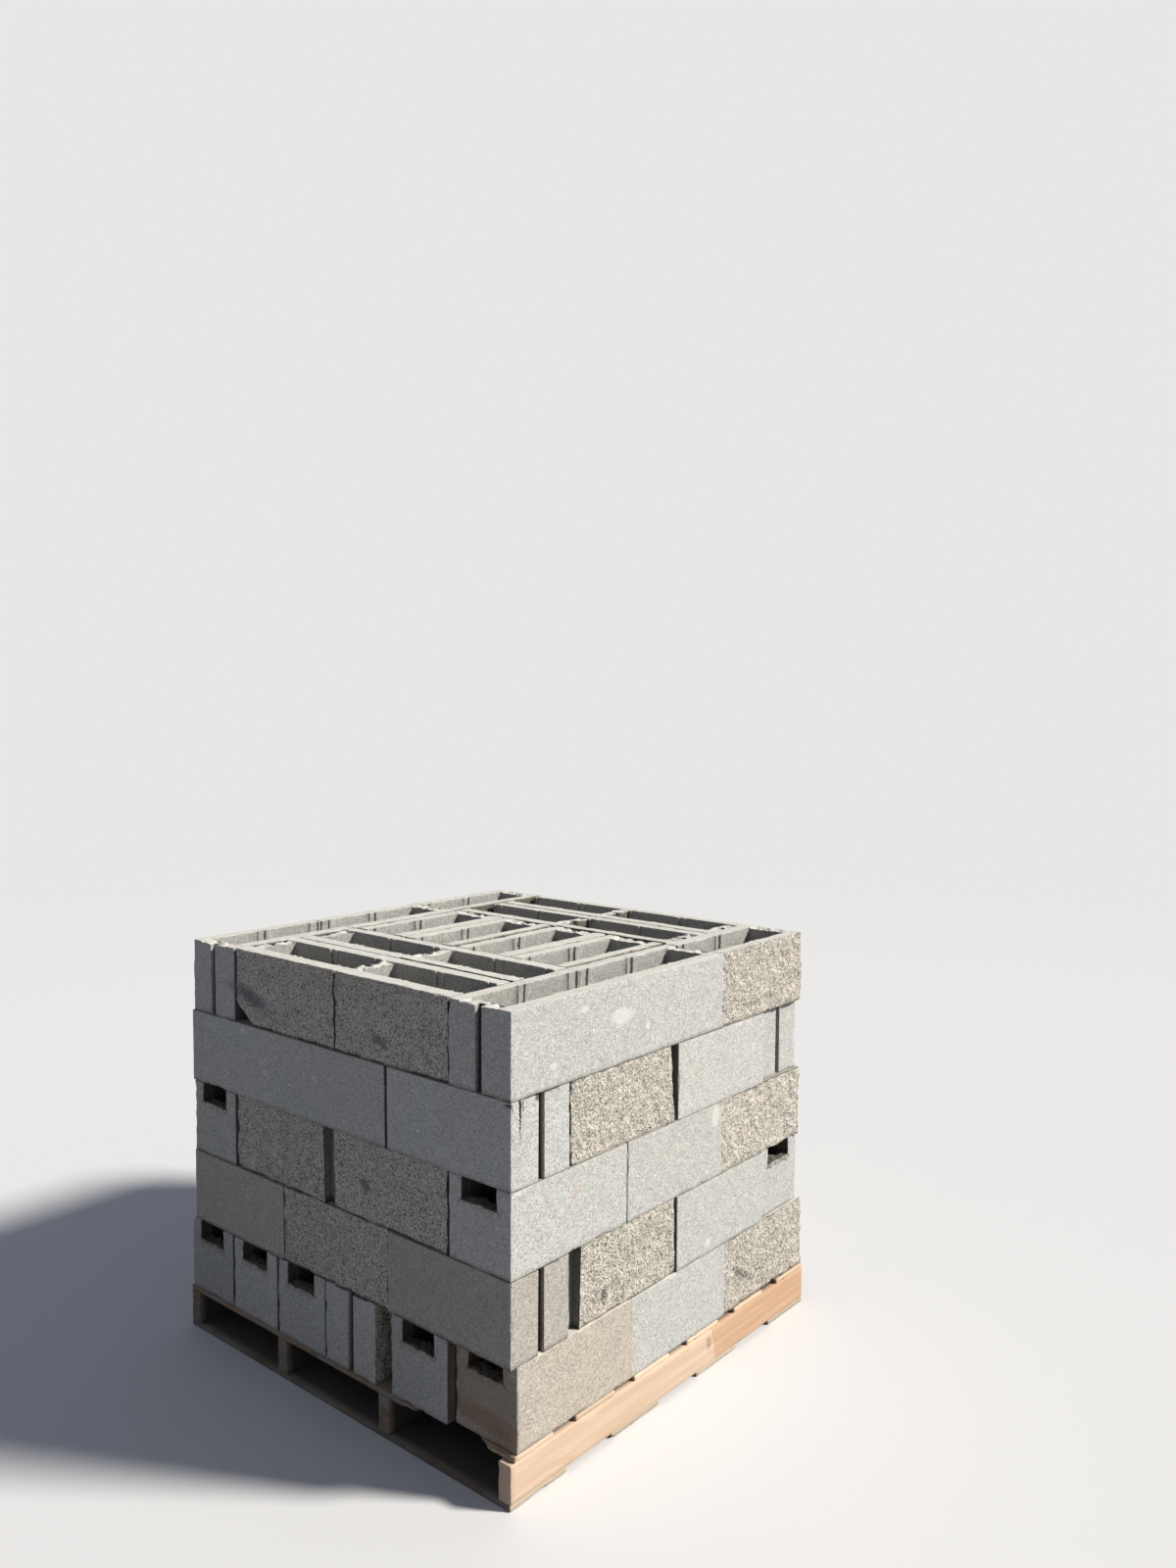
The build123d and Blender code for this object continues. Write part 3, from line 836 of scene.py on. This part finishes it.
def torn_edge(shape, low, high):
    """The lead board's front edge: a long sliver torn out, which steps back out near the right end."""
    from_right = high[0] - shape[:, 0]
    layer = (shape[:, 2] - low[2]) / (high[2] - low[2])
    knots = [0.0, 84.0, 118.0, 162.0, 258.0, 330.0, 352.0]
    reach = np.interp(from_right, knots, [13.0, 14.0, 40.0, 78.0, 76.0, 6.0, 0.0])
    jags = np.stack([from_right, layer * 40, layer * 0], axis=1)
    jagged = 9.0 * noise(jags, 13.0, 301) + 5.0 * noise(jags, 5.0, 302)
    splinter = 26.0 * smooth_step(286, 300, from_right) * smooth_step(330, 306, from_right)
    in_break = smooth_step(352, 330, from_right) * smooth_step(70, 120, from_right)
    fragment = smooth_step(120, 90, from_right) * (2.0 * layer + 0.3 * (jagged - 7.0))
    reach = reach + in_break * (jagged - 4.0 - 16.0 * layer) - splinter * (layer > 0.4) + fragment
    return np.clip(reach, 0, None)


class Paint:
    """A material's nodes, with a short call for each kind that is used here."""

    def __init__(self, name, roughness):
        self.material = bpy.data.materials.new(name)
        self.material.use_nodes = True
        self.tree = self.material.node_tree
        self.shader = self.tree.nodes["Principled BSDF"]
        self.shader.inputs["Roughness"].default_value = roughness
        self.shader.inputs["Specular IOR Level"].default_value = 0.25
        self.place = self.node("ShaderNodeTexCoord").outputs["Object"]

    def feed(self, socket, value):
        """Links a socket to another one's output, or sets its value."""
        if isinstance(value, bpy.types.NodeSocket):
            self.tree.links.new(value, socket)
        elif isinstance(value, tuple) and socket.type == "RGBA":
            socket.default_value = (*value, 1.0)
        else:
            socket.default_value = value

    def node(self, kind, values=None, **settings):
        """A new node with these settings, and with these values or outputs fed to its inputs."""
        node = self.tree.nodes.new(kind)
        for label, setting in settings.items():
            setattr(node, label, setting)
        for socket, value in (values or {}).items():
            self.feed(node.inputs[socket], value)
        return node

    def point(self, label):
        """What the mesh says at each point."""
        return self.node("ShaderNodeAttribute", attribute_name=label).outputs["Fac"]

    def calc(self, operation, first, second=0.0):
        return self.node("ShaderNodeMath", {0: first, 1: second}, operation=operation).outputs[0]

    def times(self, first, second):
        return self.calc("MULTIPLY", first, second)

    def vector(self, operation, first, second):
        node = self.node("ShaderNodeVectorMath", {0: first, 1: second}, operation=operation)
        return node.outputs["Value" if operation in ("LENGTH", "DOT_PRODUCT") else "Vector"]

    def axes(self, value):
        """The X, Y and Z of a vector."""
        return self.node("ShaderNodeSeparateXYZ", {0: value}).outputs

    def upright(self, value):
        """A vector with this Z."""
        return self.node("ShaderNodeCombineXYZ", {"Z": value}).outputs[0]

    def cloud(self, size, detail=3.0, rough=0.55, place=None):
        """Noise from 0 to 1 with bumps of about this size in metres."""
        values = {"Vector": place or self.place, "Scale": 1.0 / size, "Detail": detail, "Roughness": rough}
        return self.node("ShaderNodeTexNoise", values).outputs["Fac"]

    def stones(self, size, output="Distance", place=None):
        """Cells of about this size in metres: how far it is to their middles, or a colour for each."""
        values = {"Vector": place or self.place, "Scale": 1.0 / size}
        return self.node("ShaderNodeTexVoronoi", values).outputs[output]

    def between(self, value, low, high, to_low=0.0, to_high=1.0):
        """A soft step from one number where the value is low to another where it is high."""
        values = dict(enumerate((value, low, high, to_low, to_high)))
        return self.node("ShaderNodeMapRange", values, interpolation_type="SMOOTHSTEP").outputs[0]

    def blend(self, share, first, second, kind="MIX"):
        """The first colour where the share is 0, and the second where it is 1."""
        values = {0: share, 6: first, 7: second}
        return self.node("ShaderNodeMix", values, data_type="RGBA", blend_type=kind).outputs[2]

    def coats(self, colour, layers):
        """Colours laid over one another: for each a value, where it starts and is full, its strength and its
        tint."""
        for value, start, full, strength, tint in layers:
            colour = self.blend(self.between(value, start, full, 0.0, strength), colour, tint)
        return colour

    def patch(self, centre, radii, edge=0.35, wobble=0.5, slope=0.0):
        """A ragged spot, 1 inside: its middle and half sizes in metres, how soft and ragged its edge is and
        how steeply it runs down."""
        away = self.vector("SUBTRACT", self.place, centre)
        lift = self.upright(self.vector("DOT_PRODUCT", away, (slope, slope, 0.0)))
        scaled = self.vector("DIVIDE", self.vector("ADD", away, lift), radii)
        ragged = self.times(self.calc("SUBTRACT", self.cloud(0.012), 0.5), wobble * 2)
        distance = self.calc("ADD", self.vector("LENGTH", scaled, (0.0, 0.0, 0.0)), ragged)
        return self.between(distance, 1.0 - edge, 1.0 + edge, 1.0, 0.0)

    def bump(self, height, distance, strength=1.0, under=None):
        """A surface raised by up to this distance in metres, on top of another one if it is given."""
        values = {"Strength": strength, "Distance": distance, "Height": height}
        if under:
            values["Normal"] = under
        return self.node("ShaderNodeBump", values).outputs["Normal"]

    def finish(self, colour, normal):
        """The material with this colour and surface."""
        self.feed(self.shader.inputs["Base Color"], colour)
        self.feed(self.shader.inputs["Normal"], normal)
        return self.material


def crack(paint):
    """A jagged crack down from the top edge of the near block of the fourth course, 1 inside it."""
    x, y, z = paint.axes(paint.place)
    swerve = paint.calc("SUBTRACT", paint.cloud(0.016, 3.0, 0.7, paint.upright(z)), 0.5)
    middle = paint.calc("ADD", paint.times(swerve, 0.022), -0.5775)
    away = paint.calc("ABSOLUTE", paint.calc("SUBTRACT", y, middle))
    width = paint.between(z, 0.80, 0.880, 0.0002, 0.0034)
    inside = paint.between(paint.calc("SUBTRACT", away, width), -0.0002, 0.0008, 1.0, 0.0)
    on_face = paint.times(paint.between(x, 0.600, 0.602), paint.between(z, 0.785, 0.795))
    below_top = paint.between(z, 0.8888, 0.8895, 1.0, 0.0)
    return paint.times(inside, paint.times(on_face, below_top))


def moulded_colour(paint, mottle, fine, grain, pebbles):
    """Grey with pale and dark grains, a little warmer in wide patches."""
    grey = paint.blend(paint.between(mottle, 0.3, 0.7), (0.565, 0.57, 0.54), (0.62, 0.62, 0.585))
    return paint.coats(grey, (
        (paint.cloud(0.22, 2.0), 0.40, 0.64, 0.7, (0.615, 0.595, 0.545)),
        (grain, 0.42, 0.16, 0.6, (0.30, 0.295, 0.285)),
        (grain, 0.60, 0.88, 0.6, (0.88, 0.87, 0.83)),
        (fine, 0.56, 0.66, 0.6, (0.26, 0.255, 0.24)),
        (pebbles, 0.92, 0.95, 0.6, (0.95, 0.94, 0.90)),
    ))


def split_colour(paint, mottle, fine, grit, pebbles):
    """Warmer, with coarse pale and dark grains, and painted shade in hollows that come in clusters."""
    warm = paint.blend(paint.between(mottle, 0.35, 0.65), (0.635, 0.575, 0.485), (0.77, 0.705, 0.60))
    coarse = paint.coats(warm, (
        (grit, 0.38, 0.22, 0.88, (0.17, 0.15, 0.125)),
        (grit, 0.58, 0.72, 0.85, (1.0, 0.95, 0.86)),
        (pebbles, 0.91, 0.94, 0.65, (1.0, 0.975, 0.93)),
        (pebbles, 0.10, 0.06, 0.8, (0.20, 0.175, 0.15)),
    ))
    # Painted shade: the hollows of the broken face darkened in clusters, as if in shadow
    clusters = paint.between(paint.cloud(0.018, 3.0), 0.52, 0.64, 0.0, 0.75)
    shaded_hollows = paint.times(paint.between(fine, 0.52, 0.62), clusters)
    return paint.blend(shaded_hollows, coarse, (0.22, 0.19, 0.155))


def marked(paint, colour, grain):
    """The marks, the deep pits and the crack laid over a colour, each where it is in the stack."""
    for kind, centre, radii, *slope in MARKS:
        strength, edge, wobble, tint = MARK_KINDS[kind]
        spot = paint.patch(centre, radii, edge, wobble, *slope)
        colour = paint.blend(paint.times(spot, strength), colour, tint)
    for centre, radii, slope in PITTED:
        patch = paint.patch(centre, radii, slope=slope)
        pits = paint.times(patch, paint.between(grain, 0.72, 0.45))
        colour = paint.blend(paint.times(pits, 0.88), colour, PIT_SHADE)
    return paint.blend(crack(paint), colour, CRACK_SHADE)


def concrete():
    """Grey block concrete: fine-grained where the mould shaped it, coarse and warmer where it is broken."""
    paint = Paint("block_concrete", 0.95)
    broken, deep, tone, brown = (paint.point(label) for label in ("broken", "deep", "tone", "brown"))
    mottle = paint.cloud(0.035, 4.0, 0.6)
    fine = paint.cloud(0.0030, 2.0, 0.8)
    grain = paint.stones(0.0031, "Color")
    pebbles = paint.stones(0.0055, "Color")
    grey = moulded_colour(paint, mottle, fine, grain, pebbles)
    brownish = paint.blend(1.0, grey, (0.93, 0.80, 0.69), "MULTIPLY")
    coarse = split_colour(paint, mottle, fine, paint.stones(0.0028, "Color"), pebbles)
    colour = paint.blend(broken, paint.blend(brown, grey, brownish), coarse)
    # Painted shade in the grooves, rebates, cores and joints, full where deep is 1
    colour = paint.blend(deep, colour, JOINT_SHADE)
    normal = paint.node("ShaderNodeNewGeometry").outputs["Normal"]
    level = paint.between(paint.axes(normal)[2], 0.6, 0.9)
    dust = paint.times(level, paint.between(mottle, 0.3, 0.6, 0.35, 0.85))
    dust = paint.times(dust, paint.calc("SUBTRACT", 1.0, deep))
    colour = paint.blend(1.0, paint.blend(dust, colour, DUST), tone, "MULTIPLY")
    grains = paint.bump(fine, 0.0008, 0.6)
    pitted = paint.bump(paint.between(grain, 0.15, 0.35), 0.0007, 0.7, grains)
    crumbs = paint.between(paint.cloud(0.0045, 3.0, 0.8), 0.68, 0.40)
    rubble = paint.calc("ADD", paint.stones(0.0036), crumbs)
    share = paint.calc("ADD", paint.times(broken, 0.95), 0.02)
    broken_stone = paint.bump(paint.times(rubble, share), 0.0012, 1.0, pitted)
    lumps = paint.times(paint.cloud(0.014, 3.0, 0.6), broken)
    return paint.finish(marked(paint, colour, grain), paint.bump(lumps, 0.0070, 1.0, broken_stone))


def under_deck(paint):
    """1 inside the pallet, where the wood is darkened with painted shade and with damp and dirt, and 0 at
    its open sides.
    """
    x, y, z = paint.axes(paint.place)
    away = paint.calc("MAXIMUM", paint.calc("ABSOLUTE", x), paint.calc("ABSOLUTE", y))
    return paint.times(paint.between(away, 0.605, 0.585), paint.between(z, 0.1035, 0.1020))


def splice(paint, colour):
    """A stringer's colour, redder beyond its splice, which has a knot beside it."""
    swerve = paint.times(paint.calc("SUBTRACT", paint.cloud(0.03), 0.5), 0.010)
    past = paint.calc("ADD", paint.vector("DOT_PRODUCT", paint.place, (0.0, 1.0, 0.20)), swerve)
    redder = paint.blend(1.0, colour, (0.88, 0.768, 0.69), "MULTIPLY")
    colour = paint.blend(paint.between(past, SPLICE, SPLICE + 0.004), colour, redder)
    from_line = paint.calc("ABSOLUTE", paint.calc("SUBTRACT", past, SPLICE))
    colour = paint.blend(paint.between(from_line, 0.0006, 0.0022, 0.7, 0.0), colour, SPLICE_LINE)
    scar = paint.patch((0.61, SPLICE - 0.036, 0.070), (0.03, 0.011, 0.016))
    return paint.blend(paint.times(scar, 0.6), colour, KNOT_SCAR)


def timber(name):
    """Sawn softwood: long grain, a few knots, saw marks, greyed and dirty where it has weathered."""
    along, base, dark, grey, grime, end_colour = TIMBERS[name]
    paint = Paint(name, 0.82)
    moved = paint.vector("ADD", paint.place, paint.times(paint.point("tone"), 7.0))
    stretch = (0.055, 1.0, 1.0) if along == 0 else (1.0, 0.055, 1.0)
    knot_stretch = (0.3, 1.0, 1.0) if along == 0 else (1.0, 0.3, 1.0)
    knot = paint.stones(0.11, place=paint.vector("MULTIPLY", moved, knot_stretch))
    knot_core = paint.between(knot, 0.05, 0.12, 1.0, 0.0)
    bend = paint.times(paint.between(knot, 0.0, 0.45, 1.0, 0.0), 0.03)
    lines = paint.vector("ADD", paint.vector("MULTIPLY", moved, stretch), bend)
    grain = paint.cloud(0.0045, 4.0, 0.6, lines)
    broad = paint.cloud(0.02, 3.0, 0.5, lines)
    colour = paint.coats(base, (
        (broad, 0.35, 0.65, 1.0, dark),
        (grain, 0.5, 0.68, 0.6, dark),
        (paint.cloud(0.09, 3.0), 0.38, 0.7, grime, grey),
    ))
    colour = paint.blend(paint.times(knot_core, 0.8), colour, KNOT)
    if end_colour:
        at_end = paint.between(paint.axes(paint.place)[0], 0.603, 0.607)
        colour = paint.blend(paint.times(at_end, 0.9), colour, end_colour)
    if name == "fresh_stringer":
        colour = splice(paint, colour)
    torn = paint.blend(paint.between(grain, 0.4, 0.62), (0.52, 0.39, 0.25), (0.29, 0.19, 0.11))
    colour = paint.blend(paint.times(paint.point("broken"), 0.7), colour, torn)
    level = paint.between(paint.point("tone"), 0.0, 1.0, 0.82, 1.14)
    colour = paint.blend(1.0, colour, level, "MULTIPLY")
    # Painted shade under the deck, with damp and dirt, inside the pallet
    colour = paint.blend(under_deck(paint), colour, DAMP_AND_SHADE)
    rough = paint.bump(grain, 0.0011, 0.8)
    return paint.finish(colour, paint.bump(paint.cloud(0.03, 2.0, 0.5, lines), 0.002, 0.5, rough))


def seen(tree):
    """1 for rays from the camera, off a polished surface or through glass, and 0 for those that light the
    object."""
    path = tree.nodes.new("ShaderNodeLightPath")
    total = path.outputs["Is Camera Ray"]
    for kind in ("Is Glossy Ray", "Is Transmission Ray"):
        node = tree.nodes.new("ShaderNodeMath")
        node.operation = "ADD"
        node.use_clamp = True
        tree.links.new(total, node.inputs[0])
        tree.links.new(path.outputs[kind], node.inputs[1])
        total = node.outputs[0]
    return total


def make_stage():
    """A pale floor that fades to the colour of the background a few metres away."""
    paint = Paint("pale_floor", 0.9)
    away = paint.vector("LENGTH", paint.place, (0.0, 0.0, 0.0))
    far = paint.between(away, 3.0, 9.0)
    direct = seen(paint.tree)
    paint.feed(paint.shader.inputs["Base Color"], paint.blend(direct, FLOOR_LIT, FLOOR_SEEN))
    glow = paint.node("ShaderNodeEmission", {"Color": BACKGROUND})
    floors = {0: paint.times(far, direct), 1: paint.shader.outputs[0], 2: glow.outputs[0]}
    mixer = paint.node("ShaderNodeMixShader", floors)
    paint.feed(paint.tree.nodes["Material Output"].inputs["Surface"], mixer.outputs[0])
    mesh = bpy.data.meshes.new("floor")
    shape = bmesh.new()
    bmesh.ops.create_circle(shape, cap_ends=True, segments=96, radius=FLOOR_RADIUS)
    shape.to_mesh(mesh)
    shape.free()
    mesh.materials.append(paint.material)
    add_object("floor", mesh)


def make_light():
    """A soft high key light from the right and the back, and an even pale surrounding."""
    lamp = bpy.data.lights.new("key", "SUN")
    lamp.energy = SUN_STRENGTH
    lamp.angle = SUN_WIDTH
    lamp.color = SUN_COLOUR
    add_object("key", lamp).rotation_euler = SUN_TOWARDS.to_track_quat("Z", "Y").to_euler()
    world = bpy.data.worlds.new("studio")
    world.use_nodes = True
    nodes, links = world.node_tree.nodes, world.node_tree.links
    ambient = nodes["Background"]
    ambient.inputs["Color"].default_value = (*SKY, 1.0)
    ambient.inputs["Strength"].default_value = SKY_STRENGTH
    shown = nodes.new("ShaderNodeBackground")
    shown.inputs["Color"].default_value = (*BACKGROUND, 1.0)
    mixer = nodes.new("ShaderNodeMixShader")
    links.new(seen(world.node_tree), mixer.inputs[0])
    links.new(ambient.outputs[0], mixer.inputs[1])
    links.new(shown.outputs[0], mixer.inputs[2])
    links.new(mixer.outputs[0], nodes["World Output"].inputs["Surface"])
    bpy.context.scene.world = world
    bpy.context.scene.view_settings.view_transform = "Standard"


def make_camera():
    """A wide view from the near right corner, at eye height."""
    azimuth, elevation, roll = (math.radians(angle) for angle in CAMERA_ANGLES)
    level = math.cos(elevation)
    forward = Vector((math.sin(azimuth) * level, math.cos(azimuth) * level, math.sin(elevation)))
    right = forward.cross(Vector((0, 0, 1))).normalized()
    up = right.cross(forward)
    across = math.cos(roll) * right + math.sin(roll) * up
    upward = math.cos(roll) * up - math.sin(roll) * right
    lens = bpy.data.cameras.new("camera")
    lens.lens = LENS
    lens.sensor_width = SENSOR_WIDTH
    camera = add_object("camera", lens)
    turned = Matrix((across, upward, -forward)).transposed().to_4x4()
    camera.matrix_world = Matrix.Translation(CAMERA_PLACE) @ turned
    bpy.context.scene.camera = camera


def add_plank(node, wood, seed, edge=None):
    """A piece of the pallet's timber, standing for its CAD node."""
    part = plank(node, TIMBERS[wood][0], seed, edge)
    make_object(f"{node}_wood", [part], woods[wood], node)


stone = concrete()
woods = {name: timber(name) for name in TIMBERS}

for node, blocks in LAYOUT.items():
    parts = [
        make_block(Block(node, number, box, turn, split))
        for number, (box, (turn, split)) in enumerate(zip(islands(node), blocks))
    ]
    make_object(f"{node}_blocks", parts, stone, node)

# The blocks inside these courses don't show, so they keep the CAD's plain mesh
for course in (2, 3, 4):
    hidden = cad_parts[f"course_{course}_middle_blocks"]
    hidden.data.materials.clear()
    hidden.data.materials.append(stone)

for number in range(1, 5):
    wood = "fresh_stringer" if number == 4 else "aged_stringers"
    add_plank(f"stringer_{number}", wood, 401 + 10 * number)
    add_plank(f"bottom_board_{number}", "bottom_boards", 400 + 10 * number)
for number in range(1, 7):
    add_plank(f"deck_board_{number}", "deck_boards", 500 + 10 * number, torn_edge if number == 1 else None)

make_stage()
make_light()
make_camera()
